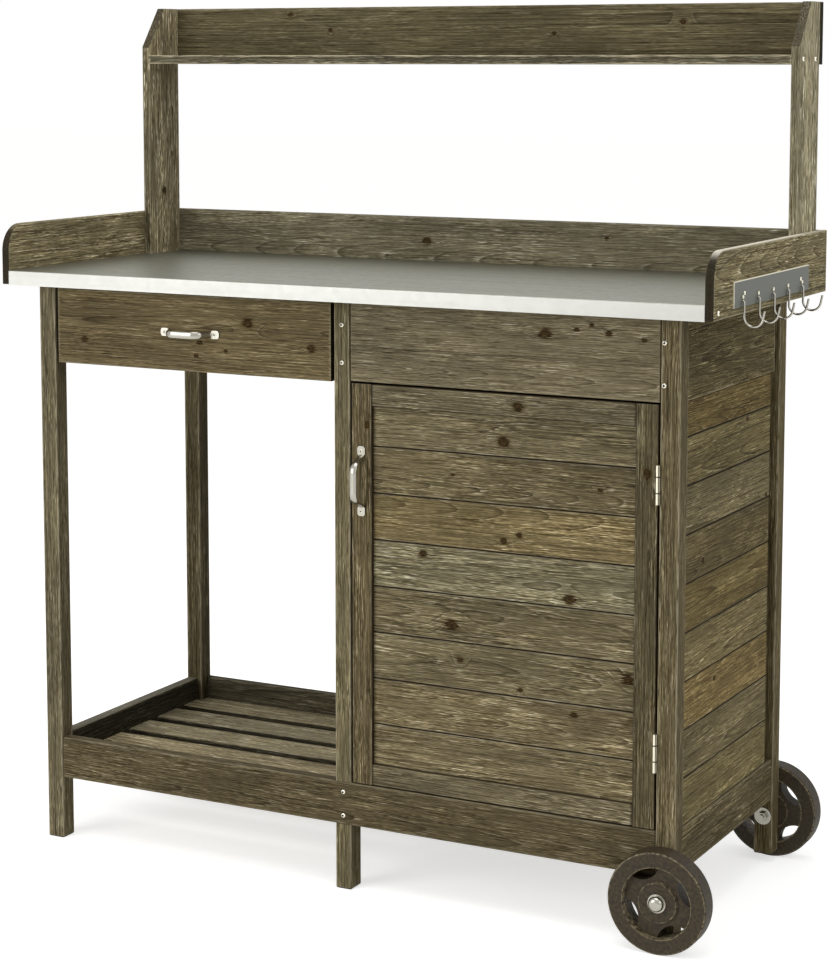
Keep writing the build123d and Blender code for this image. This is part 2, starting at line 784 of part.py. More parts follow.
# Hook plate and wire hooks on the right side board
plate_front = worktop_front + hook_plate_front
plate_bottom = side_board_bottom + hook_plate_lift
plate_mid = (plate_front + hook_plate_length / 2, plate_bottom + hook_plate_height / 2)
with BuildPart() as hook_plate:
    with BuildSketch(Plane.YZ.offset(right_out)):
        with Locations(plate_mid):
            RectangleRounded(hook_plate_length, hook_plate_height, hook_plate_t)
    extrude(amount=hook_plate_t)
finish(hook_plate, "hook_plate")

plate_face = right_out + hook_plate_t
hook_root = plate_bottom + hook_root_lift
stem_x = plate_face + hook_elbow_r
bend_x = stem_x + hook_bend_r
bend_z = hook_root - hook_fall
tip_start = (bend_x + hook_bend_r * cos(lean), bend_z - hook_bend_r * sin(lean))
tip_end = (tip_start[0] + hook_tip * sin(lean), tip_start[1] + hook_tip * cos(lean))
with BuildPart() as hooks:
    for index in range(hook_count):
        hook_y = plate_mid[0] + (index - (hook_count - 1) / 2) * hook_pitch
        with BuildLine(Plane.XZ.offset(-hook_y)) as wire:
            CenterArc((plate_face, hook_root - hook_elbow_r), hook_elbow_r, 90, -90)
            Line((stem_x, hook_root - hook_elbow_r), (stem_x, bend_z))
            CenterArc((bend_x, bend_z), hook_bend_r, 180, 180 - hook_lean)
            Line(tip_start, tip_end)
        with BuildSketch(Plane((plate_face, hook_y, hook_root), z_dir=(1, 0, 0))):
            Circle(hook_wire / 2)
        sweep(path=wire.wires()[0])
finish(hooks, "tool_hooks")
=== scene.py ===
import math

import bpy
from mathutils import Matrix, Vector


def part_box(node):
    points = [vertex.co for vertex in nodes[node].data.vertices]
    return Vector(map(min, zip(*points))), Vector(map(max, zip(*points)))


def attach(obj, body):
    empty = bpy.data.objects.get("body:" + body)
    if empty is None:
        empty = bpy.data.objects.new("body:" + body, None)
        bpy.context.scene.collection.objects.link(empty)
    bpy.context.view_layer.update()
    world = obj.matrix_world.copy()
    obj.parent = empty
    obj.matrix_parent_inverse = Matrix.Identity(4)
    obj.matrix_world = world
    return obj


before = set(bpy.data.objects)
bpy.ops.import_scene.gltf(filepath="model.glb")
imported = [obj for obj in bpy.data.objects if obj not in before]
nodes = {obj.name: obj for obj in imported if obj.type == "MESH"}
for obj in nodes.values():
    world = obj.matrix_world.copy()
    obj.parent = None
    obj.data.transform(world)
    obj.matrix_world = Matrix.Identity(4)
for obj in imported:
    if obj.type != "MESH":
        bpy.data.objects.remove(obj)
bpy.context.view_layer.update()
mm = 0.001
lineCore = 0.6  # a drawn line is at full strength over this share of its width

bpy.context.scene.view_settings.view_transform = "Standard"


# sRGB hex to the linear colour that the shaders use
def hexColor(text):
    channels = [int(text[i:i + 2], 16) / 255 for i in (1, 3, 5)]
    linear = [c / 12.92 if c <= 0.04045 else ((c + 0.055) / 1.055) ** 2.4 for c in channels]
    return (*linear, 1.0)


# adds one node: settings are its own properties or input values, links are sockets or nodes to plug in
def addNode(tree, kind, settings=None, links=None):
    node = tree.nodes.new("ShaderNode" + kind)
    for key, value in (settings or {}).items():
        if isinstance(key, str) and hasattr(node, key):
            setattr(node, key, value)
        else:
            node.inputs[key].default_value = value
    for key, source in (links or {}).items():
        socket = source.outputs[0] if isinstance(source, bpy.types.Node) else source
        tree.links.new(socket, node.inputs[key])
    return node


def newMaterial(name):
    material = bpy.data.materials.new(name)
    material.use_nodes = True
    material.node_tree.nodes.clear()
    return material, material.node_tree


# the place on the object, in millimetres from its middle or in steps of a pattern's size, and the normal
def objectPlace(tree, step=1, middle=(0, 0, 0)):
    coordinates = addNode(tree, "TexCoord").outputs
    place = addNode(
        tree,
        "Mapping",
        {"Location": [-value / step for value in middle], "Scale": (1 / mm / step,) * 3},
        {"Vector": coordinates["Object"]},
    )
    return place, coordinates["Normal"]


def dress(node, material):
    mesh = nodes[node].data
    mesh.materials.clear()
    mesh.materials.append(material)


# Fir under a thin wiped stain: olive brown, with paler fibres where the cloth took the stain off, darker late
# wood lines, dark ringed knots, black end grain, and rubbed edges
firColors = {
    "deep": "#453d2b",
    "body": "#686150",
    "fibre": "#8b836d",
    "wiped": "#e6e0d0",
    "worn": "#aaa086",
    "crack": "#241d13",
    "lateWood": "#332b1e",
    "amberStain": "#fff9ea",
    "greyStain": "#f0f3ee",
    "knot": "#281c0c",
    "knotRing": "#5e4a2b",
    "knotRim": "#41351c",
    "seamShade": "#241a0b",
    "endGrain": "#1c1812",
}
# widths across the grain with lengths along it, then depths and distances, in millimetres; real fibres are
# finer than 0.1 mm, so these are drawn as coarse as the camera can show
firSizes = {
    "waver": (110, 900),
    "ripple": (18, 170),
    "fibre": (1.1, 60),
    "dash": (1.0, 32),
    "fleck": (0.9, 9),
    "streak": (1.4, 700),
    "patch": (22, 110),
    "blotch": (45, 220),
    "ringPitch": 3.6,
    "waverDepth": 14,
    "rippleDepth": 1.2,
    "knotDepth": 5,
    "knotFlow": 1.0,
    "edgeWear": 1.8,
    "edgeFray": 14,
    "seamWidth": 1.2,
    "seamWear": 3.0,
    "jointWidth": 2.8,
    "pithBehind": 18,
    "pithDepths": 50,
    "pithOffsets": 70,
    "cutApart": (6000, 400, 400),
    "relief": 0.5,
}
# where each share of the look begins, where it is full, and how strong it is there
firLevels = {
    "lateWood": {"From Min": 0.8, "From Max": 0.96, "To Max": 0.5},
    "earlyWood": {"From Min": 0.16, "From Max": 0.05, "To Max": 0.4},
    "rough": {"From Min": 0.4, "From Max": 0.6, "To Min": 0.45, "To Max": 1.0},
    "broken": {"From Min": 0.52, "From Max": 0.58},
    "dashes": {"From Min": 0.65, "From Max": 0.73, "To Max": 0.65},
    "cracks": {"From Min": 0.38, "From Max": 0.3, "To Max": 0.7},
    "blotch": {"From Min": 0.3, "From Max": 0.7, "To Min": 0.84, "To Max": 1.36},
    "streak": {"From Min": 0.32, "From Max": 0.48, "To Min": 0.6, "To Max": 1.04},
    "fleck": {"From Min": 0.3, "From Max": 0.7, "To Min": -0.42, "To Max": 0.42},
    "sawn": {"From Min": 0.6, "From Max": 0.9},
    "rim": {"From Min": 1.5, "From Max": 0.95, "To Max": 0.6},
    "heart": {"From Min": 1.0, "From Max": 0.8, "To Max": 0.95},
    "ringed": {"From Min": 0.2, "From Max": 0.3, "To Max": 0.8},
    "edgeWear": {"From Min": firSizes["edgeWear"], "From Max": 0.3, "To Max": 0.8},
    "seamWear": {"From Min": firSizes["seamWear"], "From Max": 1.7 * firSizes["seamWidth"], "To Max": 0.7},
    "seamShade": {
        "From Min": firSizes["seamWidth"],
        "From Max": lineCore * firSizes["seamWidth"],
        "To Max": 0.95,
    },
    "jointShade": {
        "From Min": firSizes["jointWidth"],
        "From Max": lineCore * firSizes["jointWidth"],
        "To Max": 0.95,
    },
    "endGrain": {"From Min": 0.25, "From Max": 0.7, "To Max": 0.92},
}
# shares, and distances in knot radii
firShares = {
    "pithTilt": 0.1,
    "knotFall": 0.16,
    "knotFray": 1.6,
    "knotRing": 0.32,
    "knotLength": 1.35,
    "noKnot": 20.0,
    "roughness": 0.58,
    "fibreRoughness": 0.25,
    "lateWoodGroove": 0.5,
    "dashRidge": 0.4,
    "bump": 0.5,
    "sheen": 0.04,
}
fibreStops = ((0.35, "deep"), (0.5, "body"), (0.65, "fibre"))


def makeFirGroup():
    tree = bpy.data.node_groups.new("stainedFirGrain", "ShaderNodeTree")
    for name, kind in (
        ("Place", "Vector"),
        ("Half", "Vector"),
        ("Normal", "Vector"),
        ("Start", "Float"),
        ("Pitch", "Float"),
        ("Seed", "Float"),
        ("Tone", "Float"),
        ("Spread", "Float"),
        ("Grain", "Float"),
        ("Tint", "Color"),
        ("Knot", "Float"),
        ("Wear", "Float"),
        ("Seam", "Float"),
        ("SideShading", "Float"),
        ("RubbedAndLit", "Float"),
        ("EndShade", "Float"),
    ):
        tree.interface.new_socket(name=name, in_out="INPUT", socket_type="NodeSocket" + kind)
    for name, kind in (("Color", "Color"), ("Roughness", "Float"), ("Height", "Float")):
        tree.interface.new_socket(name=name, in_out="OUTPUT", socket_type="NodeSocket" + kind)
    inputs = tree.nodes.new("NodeGroupInput").outputs
    place = addNode(tree, "SeparateXYZ", links={0: inputs["Place"]}).outputs
    facing = addNode(tree, "SeparateXYZ", links={0: inputs["Normal"]}).outputs

    # which plank this is, and the way from that plank's middle
    fromStart = addNode(tree, "Math", {"operation": "SUBTRACT"}, {0: place[2], 1: inputs["Start"]})
    rows = addNode(tree, "Math", {"operation": "DIVIDE"}, {0: fromStart, 1: inputs["Pitch"]})
    row = addNode(tree, "Math", {"operation": "FLOOR"}, {0: rows})
    within = addNode(tree, "Math", {"operation": "FRACT"}, {0: rows})
    centred = addNode(tree, "Math", {"operation": "SUBTRACT", 1: 0.5}, {0: within})
    across = addNode(tree, "Math", {"operation": "MULTIPLY"}, {0: centred, 1: inputs["Pitch"]})
    plank = addNode(tree, "CombineXYZ", links={0: row, 1: inputs["Seed"]})
    chance = addNode(tree, "TexWhiteNoise", {"noise_dimensions": "3D"}, {"Vector": plank})
    luck = addNode(tree, "SeparateXYZ", links={0: chance.outputs["Color"]}).outputs

    # each plank is cut from another part of another log, and its fibres flow round its knots
    knotSquare = addNode(tree, "Math", {"operation": "MULTIPLY"}, {0: inputs["Knot"], 1: inputs["Knot"]})
    knotFall = addNode(tree, "Math", {"operation": "MULTIPLY", 1: -firShares["knotFall"]}, {0: knotSquare})
    knotNear = addNode(tree, "Math", {"operation": "EXPONENT"}, {0: knotFall})
    flow = addNode(tree, "Math", {"operation": "MULTIPLY", 1: firSizes["knotFlow"]}, {0: knotNear})
    flowing = addNode(tree, "CombineXYZ", links={1: flow, 2: flow})
    cut = addNode(
        tree,
        "VectorMath",
        {"operation": "MULTIPLY_ADD", 1: firSizes["cutApart"]},
        {0: chance.outputs["Color"], 2: flowing},
    )
    timber = addNode(tree, "VectorMath", {"operation": "ADD"}, {0: inputs["Place"], 1: cut})
    noises = {}
    for name, detail, roughness in (
        ("waver", 2, 0.5),
        ("ripple", 2, 0.5),
        ("fibre", 1, 0.5),
        ("dash", 1, 0.5),
        ("fleck", 0, 0.5),
        ("streak", 1, 0.5),
        ("patch", 2, 0.5),
        ("blotch", 3, 0.55),
    ):
        width, length = firSizes[name]
        scale = (1 / length, 1 / width, 1 / width)
        sized = addNode(tree, "VectorMath", {"operation": "MULTIPLY", 1: scale}, {0: timber})
        noise = addNode(
            tree, "TexNoise", {"Scale": 1.0, "Detail": detail, "Roughness": roughness}, {"Vector": sized}
        )
        noises[name] = noise.outputs[0]

    # growth rings round a pith that runs askew behind the face, bent by the waver and by the knots
    pithRanges = (
        (firShares["pithTilt"], -firShares["pithTilt"] / 2),
        (firSizes["pithDepths"], firSizes["pithBehind"]),
        (firSizes["pithOffsets"], -firSizes["pithOffsets"] / 2),
    )
    pithTilt, pithBack, pithSide = [
        addNode(tree, "Math", {"operation": "MULTIPLY_ADD", 1: span, 2: least}, {0: draw})
        for draw, (span, least) in zip(luck, pithRanges)
    ]
    pith = addNode(tree, "Math", {"operation": "MULTIPLY_ADD"}, {0: place[0], 1: pithTilt, 2: pithBack})
    ringY = addNode(tree, "Math", {"operation": "ADD"}, {0: place[1], 1: pith})
    ringZ = addNode(tree, "Math", {"operation": "ADD"}, {0: across, 1: pithSide})
    ringPlace = addNode(tree, "CombineXYZ", links={1: ringY, 2: ringZ})
    radius = addNode(tree, "VectorMath", {"operation": "LENGTH"}, {0: ringPlace})
    bent = radius.outputs["Value"]
    for source, depth in (
        (noises["waver"], "waverDepth"),
        (noises["ripple"], "rippleDepth"),
        (knotNear, "knotDepth"),
    ):
        bent = addNode(tree, "Math", {"operation": "MULTIPLY_ADD", 1: firSizes[depth]}, {0: source, 2: bent})
    ringCount = addNode(tree, "Math", {"operation": "DIVIDE", 1: firSizes["ringPitch"]}, {0: bent})
    phase = addNode(tree, "Math", {"operation": "FRACT"}, {0: ringCount})
    lateWood = addNode(tree, "MapRange", firLevels["lateWood"], {"Value": phase})
    earlyWood = addNode(tree, "MapRange", firLevels["earlyWood"], {"Value": phase})

    # colour: fibres, stronger in some patches than in others, then the dark and the rubbed side of each ring
    fibreTone = addNode(tree, "ValToRGB", links={0: noises["fibre"]})
    fibreTone.color_ramp.elements.new(0.5)
    for stop, (position, paint) in zip(fibreTone.color_ramp.elements, fibreStops):
        stop.position = position
        stop.color = hexColor(firColors[paint])
    rough = addNode(tree, "MapRange", firLevels["rough"], {"Value": noises["patch"]})
    rough = addNode(tree, "Math", {"operation": "MULTIPLY"}, {0: rough, 1: inputs["Grain"]})
    broken = addNode(tree, "MapRange", firLevels["broken"], {"Value": noises["dash"]})
    dashes = addNode(tree, "MapRange", firLevels["dashes"], {"Value": noises["dash"]})
    cracks = addNode(tree, "MapRange", firLevels["cracks"], {"Value": noises["dash"]})
    rubbed = addNode(tree, "Math", {"operation": "MULTIPLY"}, {0: earlyWood, 1: broken})
    pale = addNode(tree, "Math", {"operation": "MAXIMUM"}, {0: rubbed, 1: dashes})
    paleShare = addNode(tree, "Math", {"operation": "MULTIPLY"}, {0: pale, 1: rough})
    color = addNode(
        tree, "Mix", {"data_type": "RGBA", 6: hexColor(firColors["body"])}, {0: rough, 7: fibreTone}
    )
    for share, paint in ((lateWood, "lateWood"), (cracks, "crack"), (paleShare, "wiped")):
        color = addNode(
            tree, "Mix", {"data_type": "RGBA", 7: hexColor(firColors[paint])}, {0: share, 6: color.outputs[2]}
        )

    # the plank's own stain, from grey to amber, its own tone, blotches, streaks and flecks in that, and the
    # sawn sides toned apart from the planed face, as painted light where lifted and painted shade where
    # lowered
    stain = addNode(
        tree,
        "Mix",
        {"data_type": "RGBA", 6: hexColor(firColors["greyStain"]), 7: hexColor(firColors["amberStain"])},
        {0: luck[0]},
    )
    for paint in (stain.outputs[2], inputs["Tint"]):
        color = addNode(
            tree,
            "Mix",
            {"data_type": "RGBA", "blend_type": "MULTIPLY", 0: 1.0},
            {6: color.outputs[2], 7: paint},
        )
    swing = addNode(tree, "Math", {"operation": "SUBTRACT", 1: 0.5}, {0: chance.outputs["Value"]})
    tone = addNode(
        tree, "Math", {"operation": "MULTIPLY_ADD"}, {0: swing, 1: inputs["Spread"], 2: inputs["Tone"]}
    )
    for name in ("blotch", "streak"):
        cloud = addNode(tree, "MapRange", firLevels[name], {"Value": noises[name]})
        tone = addNode(tree, "Math", {"operation": "MULTIPLY"}, {0: tone, 1: cloud})
    fleck = addNode(tree, "MapRange", firLevels["fleck"], {"Value": noises["fleck"]})
    flecked = addNode(tree, "Math", {"operation": "MULTIPLY_ADD", 2: 1.0}, {0: fleck, 1: rough})
    tone = addNode(tree, "Math", {"operation": "MULTIPLY"}, {0: tone, 1: flecked})
    sideways = addNode(tree, "Math", {"operation": "ABSOLUTE"}, {0: facing[2]})
    sawn = addNode(tree, "MapRange", firLevels["sawn"], {"Value": sideways})
    sideShading = addNode(tree, "Math", {"operation": "MULTIPLY_ADD", 2: 1.0}, {0: sawn, 1: inputs["SideShading"]})
    tone = addNode(tree, "Math", {"operation": "MULTIPLY"}, {0: tone, 1: sideShading})
    toned = addNode(tree, "VectorMath", {"operation": "SCALE"}, {0: color.outputs[2], "Scale": tone})

    # knots: a ragged dark heart with brown rings and a darker rim
    ragged = {"operation": "MULTIPLY_ADD", 1: firShares["knotFray"], 2: -firShares["knotFray"] / 2}
    fray = addNode(tree, "Math", ragged, {0: noises["dash"]})
    knotEdge = addNode(tree, "Math", {"operation": "ADD"}, {0: inputs["Knot"], 1: fray})
    rim = addNode(tree, "MapRange", firLevels["rim"], {"Value": knotEdge})
    heart = addNode(tree, "MapRange", firLevels["heart"], {"Value": knotEdge})
    turns = addNode(tree, "Math", {"operation": "PINGPONG", 1: firShares["knotRing"]}, {0: knotEdge})
    ringed = addNode(tree, "MapRange", firLevels["ringed"], {"Value": turns})
    knotColor = addNode(
        tree,
        "Mix",
        {"data_type": "RGBA", 6: hexColor(firColors["knot"]), 7: hexColor(firColors["knotRing"])},
        {0: ringed},
    )
    rimmed = addNode(
        tree, "Mix", {"data_type": "RGBA", 7: hexColor(firColors["knotRim"])}, {0: rim, 6: toned}
    )
    color = addNode(
        tree, "Mix", {"data_type": "RGBA"}, {0: heart, 6: rimmed.outputs[2], 7: knotColor.outputs[2]}
    )

    # rubbed edges: the middle one of the three distances to the board's faces is the way to its edge
    size = addNode(tree, "SeparateXYZ", links={0: inputs["Half"]}).outputs
    depths = []
    for part, half in ((place[0], size[0]), (place[1], size[1]), (across, size[2])):
        away = addNode(tree, "Math", {"operation": "ABSOLUTE"}, {0: part})
        depths.append(addNode(tree, "Math", {"operation": "SUBTRACT"}, {0: half, 1: away}))
    low = addNode(tree, "Math", {"operation": "MINIMUM"}, {0: depths[0], 1: depths[1]})
    high = addNode(tree, "Math", {"operation": "MAXIMUM"}, {0: depths[0], 1: depths[1]})
    upper = addNode(tree, "Math", {"operation": "MINIMUM"}, {0: high, 1: depths[2]})
    toEdge = addNode(tree, "Math", {"operation": "MAXIMUM"}, {0: low, 1: upper})
    uneven = {"operation": "MULTIPLY_ADD", 1: firSizes["edgeFray"], 2: -firSizes["edgeFray"] / 2}
    frayed = addNode(tree, "Math", uneven, {0: noises["dash"]})
    edge = addNode(tree, "Math", {"operation": "ADD"}, {0: toEdge, 1: frayed})
    rub = addNode(tree, "MapRange", firLevels["edgeWear"], {"Value": edge})
    wear = addNode(tree, "Math", {"operation": "MULTIPLY"}, {0: rub, 1: inputs["Wear"]})

    # the seam between two planks: a dark line of painted shade for the gap, with broken rubbed edges beside
    # it
    besideSeam = addNode(tree, "MapRange", firLevels["seamWear"], {"Value": depths[2]})
    seamRub = addNode(tree, "Math", {"operation": "MULTIPLY"}, {0: besideSeam, 1: broken})
    seamWorn = addNode(tree, "Math", {"operation": "MULTIPLY"}, {0: seamRub, 1: inputs["Seam"]})
    seamWear = addNode(tree, "Math", {"operation": "MULTIPLY"}, {0: seamWorn, 1: inputs["Wear"]})
    inSeam = addNode(tree, "MapRange", firLevels["seamShade"], {"Value": depths[2]})
    seamShade = addNode(tree, "Math", {"operation": "MULTIPLY"}, {0: inSeam, 1: inputs["Seam"]})

    # a board's end is painted dark where it butts on the next board, as shade in the crack
    atEnd = addNode(tree, "MapRange", firLevels["jointShade"], {"Value": depths[0]})
    jointShade = addNode(tree, "Math", {"operation": "MULTIPLY"}, {0: atEnd, 1: inputs["EndShade"]})

    # end grain drinks the stain, and a rubbed board's sawn sides are bare and pale, partly wear and partly
    # painted light
    endways = addNode(tree, "Math", {"operation": "ABSOLUTE"}, {0: facing[0]})
    end = addNode(tree, "MapRange", firLevels["endGrain"], {"Value": endways})
    bareAndLit = addNode(tree, "Math", {"operation": "MULTIPLY"}, {0: sawn, 1: inputs["RubbedAndLit"]})
    for share, paint in (
        (bareAndLit, "wiped"),
        (wear, "worn"),
        (seamWear, "wiped"),
        (seamShade, "seamShade"),
        (jointShade, "seamShade"),
        (end, "endGrain"),
    ):
        color = addNode(
            tree, "Mix", {"data_type": "RGBA", 7: hexColor(firColors[paint])}, {0: share, 6: color.outputs[2]}
        )

    # matt, a little more so on the fibres; late wood lies in grooves and the dashes stand up
    matt = {"operation": "MULTIPLY_ADD", 1: firShares["fibreRoughness"], 2: firShares["roughness"]}
    gloss = addNode(tree, "Math", matt, {0: noises["fibre"]})
    height = noises["fibre"]
    for source, share in ((lateWood, -firShares["lateWoodGroove"]), (dashes, firShares["dashRidge"])):
        height = addNode(tree, "Math", {"operation": "MULTIPLY_ADD", 1: share}, {0: source, 2: height})
    outputs = tree.nodes.new("NodeGroupOutput")
    tree.links.new(color.outputs[2], outputs.inputs["Color"])
    tree.links.new(gloss.outputs[0], outputs.inputs["Roughness"])
    tree.links.new(height.outputs[0], outputs.inputs["Height"])
    return tree


firGroup = makeFirGroup()


# Gives one CAD board or wall of planks its own piece of fir. grain runs along the board, face looks out of
# its broad side, and planks lie side by side along the third axis: rows has the first one's edge, the pitch
# and the planks' width, and tints has one stain for each plank, from the first on. A knot is its place along
# the grain, its place across it and its radius.
def stainFir(
    node,
    grain,
    face,
    seed,
    tone=1.0,  # brightness
    tint="#ffffff",
    spread=0.0,  # how far the planks' tones differ
    strength=1.0,  # of the grain
    sideShading=0.0,  # how much brighter the sawn sides are: painted light above 0, painted shade below 0
    rubbed=0.0,  # how bare the sawn sides are: partly wear, partly painted light
    wear=0.5,  # of the edges
    seamShade=0.0,  # painted shade: dark lines along the planks' edges, for the gaps
    endShade=0.0,  # painted shade: dark lines across the ends, for the cracks where they butt
    rows=None,
    tints=(),
    knots=(),
):
    material, tree = newMaterial("stainedFir_" + node)
    order = ["XYZ".index(grain), "XYZ".index(face)]
    order.append(3 - sum(order))
    low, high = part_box(node)
    middle = (low + high) / 2 / mm
    half = (high - low) / 2 / mm
    scaled, outward = objectPlace(tree, middle=middle)
    apart = addNode(tree, "SeparateXYZ", links={0: scaled}).outputs
    place = addNode(tree, "CombineXYZ", links={i: apart[axis] for i, axis in enumerate(order)})
    faces = addNode(tree, "SeparateXYZ", links={0: outward}).outputs
    normal = addNode(tree, "CombineXYZ", links={i: faces[axis] for i, axis in enumerate(order)})
    sizes = [half[axis] for axis in order]
    margin = 1  # keeps both edges of a single board in its one row
    start, pitch = -sizes[2] - margin, 2 * (sizes[2] + margin)
    if rows:
        start, pitch, width = rows
        start -= middle[order[2]]
        sizes[2] = width / 2
    wood = addNode(
        tree,
        "Group",
        {
            "node_tree": firGroup,
            "Half": sizes,
            "Start": start,
            "Pitch": pitch,
            "Seed": seed,
            "Tone": tone,
            "Spread": spread,
            "Tint": hexColor(tint),
            "Grain": strength,
            "Wear": wear,
            "Seam": seamShade,
            "SideShading": sideShading,
            "RubbedAndLit": rubbed,
            "EndShade": endShade,
            "Knot": firShares["noKnot"],
        },
        {"Place": place, "Normal": normal},
    )
    if tints:
        span = pitch * len(tints)
        whole = addNode(
            tree, "MapRange", {"From Min": start, "From Max": start + span}, {"Value": apart[order[2]]}
        )
        chart = addNode(tree, "ValToRGB", links={0: whole})
        chart.color_ramp.interpolation = "CONSTANT"
        chart.color_ramp.elements[0].color = hexColor(tints[0])
        chart.color_ramp.elements[1].position = 1 / len(tints)
        chart.color_ramp.elements[1].color = hexColor(tints[1])
        for index, tint in enumerate(tints[2:], 2):
            chart.color_ramp.elements.new(index / len(tints)).color = hexColor(tint)
        tree.links.new(chart.outputs[0], wood.inputs["Tint"])
    nearest = None
    for along, over, radius in knots:
        stretch = (1 / (firShares["knotLength"] * radius), 0, 1 / radius)
        offset = (-(along - middle[order[0]]) * stretch[0], 0, -(over - middle[order[2]]) * stretch[2])
        reach = addNode(tree, "VectorMath", {"operation": "MULTIPLY_ADD", 1: stretch, 2: offset}, {0: place})
        distance = addNode(tree, "VectorMath", {"operation": "LENGTH"}, {0: reach}).outputs["Value"]
        if nearest is not None:
            distance = addNode(tree, "Math", {"operation": "MINIMUM"}, {0: nearest, 1: distance}).outputs[0]
        nearest = distance
    if nearest is not None:
        tree.links.new(nearest, wood.inputs["Knot"])
    relief = {"Strength": firShares["bump"], "Distance": firSizes["relief"] * mm}
    bump = addNode(tree, "Bump", relief, {"Height": wood.outputs["Height"]})
    surface = addNode(
        tree,
        "BsdfPrincipled",
        {"IOR": 1.5, "Specular IOR Level": firShares["sheen"]},
        {"Base Color": wood.outputs["Color"], "Roughness": wood.outputs["Roughness"], "Normal": bump},
    )
    addNode(tree, "OutputMaterial", links={"Surface": surface})
    dress(node, material)


print("fir boards")
legs = {"grain": "Z", "face": "Y", "wear": 0.9, "strength": 0.8}
for index, (node, tone, tint) in enumerate(
    (
        ("front_left_leg", 0.9, "#fffffc"),
        ("front_right_leg", 0.8, "#fffcf2"),
        ("rear_left_leg", 0.58, "#fffcef"),
        ("rear_right_leg", 0.85, "#fff8e4"),
        ("front_middle_post", 1.02, "#fffcef"),
        ("rear_middle_post", 1.0, "#fffcef"),
    )
):
    stainFir(node, seed=10 + index, tone=tone, tint=tint, **legs)

longBoards = {"grain": "X", "face": "Y"}
stainFir("front_bottom_rail", seed=20, tone=0.67, strength=0.85, tint="#fff8ec", endShade=0.7, **longBoards)
stainFir("rear_bottom_rail", seed=21, tone=0.5, strength=0.7, endShade=0.6, **longBoards)
stainFir("rear_aprons", seed=24, **longBoards)
stainFir("drawer_back", seed=25, **longBoards)
backsplash = {"tone": 1.13, "strength": 0.8, "knots": [(-98, 911, 6), (210, 925, 3)]}
stainFir("backsplash", seed=22, **longBoards, **backsplash)
shelfBack = {
    "tone": 0.77,
    "strength": 0.5,
    "tint": "#fffbec",
    "knots": [(-346, 1268, 4), (-272, 1243, 3), (120, 1236, 3), (330, 1252, 4)],
}
stainFir("shelf_back_board", seed=23, **longBoards, **shelfBack)

sideBoards = {"grain": "Y", "face": "X"}
# left bottom rail: the low tone is painted shade on its inner face; the sides and rubbed values paint its top
# edge pale as painted light
stainFir("left_bottom_rail", seed=30, tone=0.27, sideShading=1.6, rubbed=0.12, **sideBoards)
stainFir("right_bottom_rail", seed=31, tone=0.82, tint="#fff8e6", endShade=0.7, **sideBoards)
stainFir("left_side_board", seed=32, tone=1.5, tint="#fffaf0", **sideBoards)
# right side board: rubbed paints its top edge bare and pale, partly wear and partly painted light on the
# upward face
stainFir("right_side_board", seed=33, tone=1.62, tint="#fff8e8", rubbed=0.7, wear=0.9, **sideBoards)
# right apron: the low tone is painted shade under the worktop's overhang
stainFir("right_apron", seed=35, tone=0.73, tint="#fff6d8", wear=1.0, **sideBoards)
hidden = ("left_apron", "divider", "drawer_left_side", "drawer_right_side", "left_runner", "right_runner")
for index, node in enumerate(hidden):
    stainFir(node, seed=36 + index, strength=0.8, **sideBoards)

flatBoards = {"grain": "X", "face": "Z"}
stainFir("top_shelf", seed=45, tone=0.72, wear=1.3, **flatBoards)
slatWidth = 58
slatGap = 22.3
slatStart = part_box("shelf_slats")[0].y / mm - slatGap / 2
# slats: the high tone is painted light on their tops, and the darker sides are painted shade in the gaps
slats = {"tone": 2.4, "sideShading": -0.9, "spread": 0.2, "rows": (slatStart, slatWidth + slatGap, slatWidth)}
stainFir("shelf_slats", seed=46, **flatBoards, **slats)
worktopPitch = 112.75
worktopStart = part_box("worktop_planks")[0].y / mm
worktopPlanks = {"spread": 0.3, "seamShade": 0.6, "rows": (worktopStart, worktopPitch, worktopPitch)}
stainFir("worktop_planks", seed=47, **flatBoards, **worktopPlanks)
stainFir("drawer_floor", seed=48, **flatBoards)
stainFir("shelf_cleats", seed=49, grain="Y", face="Z")

uprights = {"grain": "Z", "face": "X"}
stainFir("left_upright", seed=50, tone=1.45, strength=1.5, sideShading=-0.4, knots=[(982, 172, 5)], **uprights)
stainFir("right_upright", seed=51, tone=2.35, strength=1.4, sideShading=-0.4, **uprights)
for index, node in enumerate(("side_battens", "partition_battens", "back_battens")):
    stainFir(node, seed=52 + index, **uprights)

plankPitch = 67
plankStarts = {"side": 160, "inner": 124, "door": 184.5}  # heights of the lowest planks' lower edges
# tongued planks: the seams and the darker sides are painted shade in the grooves between them
tongued = {"seamShade": 1.0, "sideShading": -0.9}
sidePlanks = {
    "tone": 1.31,
    "endShade": 0.7,
    "strength": 0.75,
    "wear": 0.1,
    "rows": (plankStarts["side"], plankPitch, plankPitch),
    # one stain for each plank, from the lowest up; the upper planks are darker as painted shade under the
    # overhang
    "tints": (
        "#fff5d6", "#f2ecd8", "#fff0cc", "#fff6da", "#ece0bc",
        "#dcd6c2", "#f6f2e2", "#efe8cc", "#d8ccaa", "#d8ccaa",
    ),
    "knots": [(144, 567, 3), (-111, 517, 4), (60, 690, 4), (-60, 340, 4)],
}
stainFir("side_planks", "Y", "X", seed=60, **tongued, **sidePlanks)
innerPlanks = {
    "spread": 0.3,
    "strength": 0.75,
    "wear": 0.15,
    "rows": (plankStarts["inner"], plankPitch, plankPitch),
}
stainFir("partition_planks", "Y", "X", seed=61, **tongued, **innerPlanks)
stainFir("back_planks", "X", "Y", seed=62, **tongued, **innerPlanks)

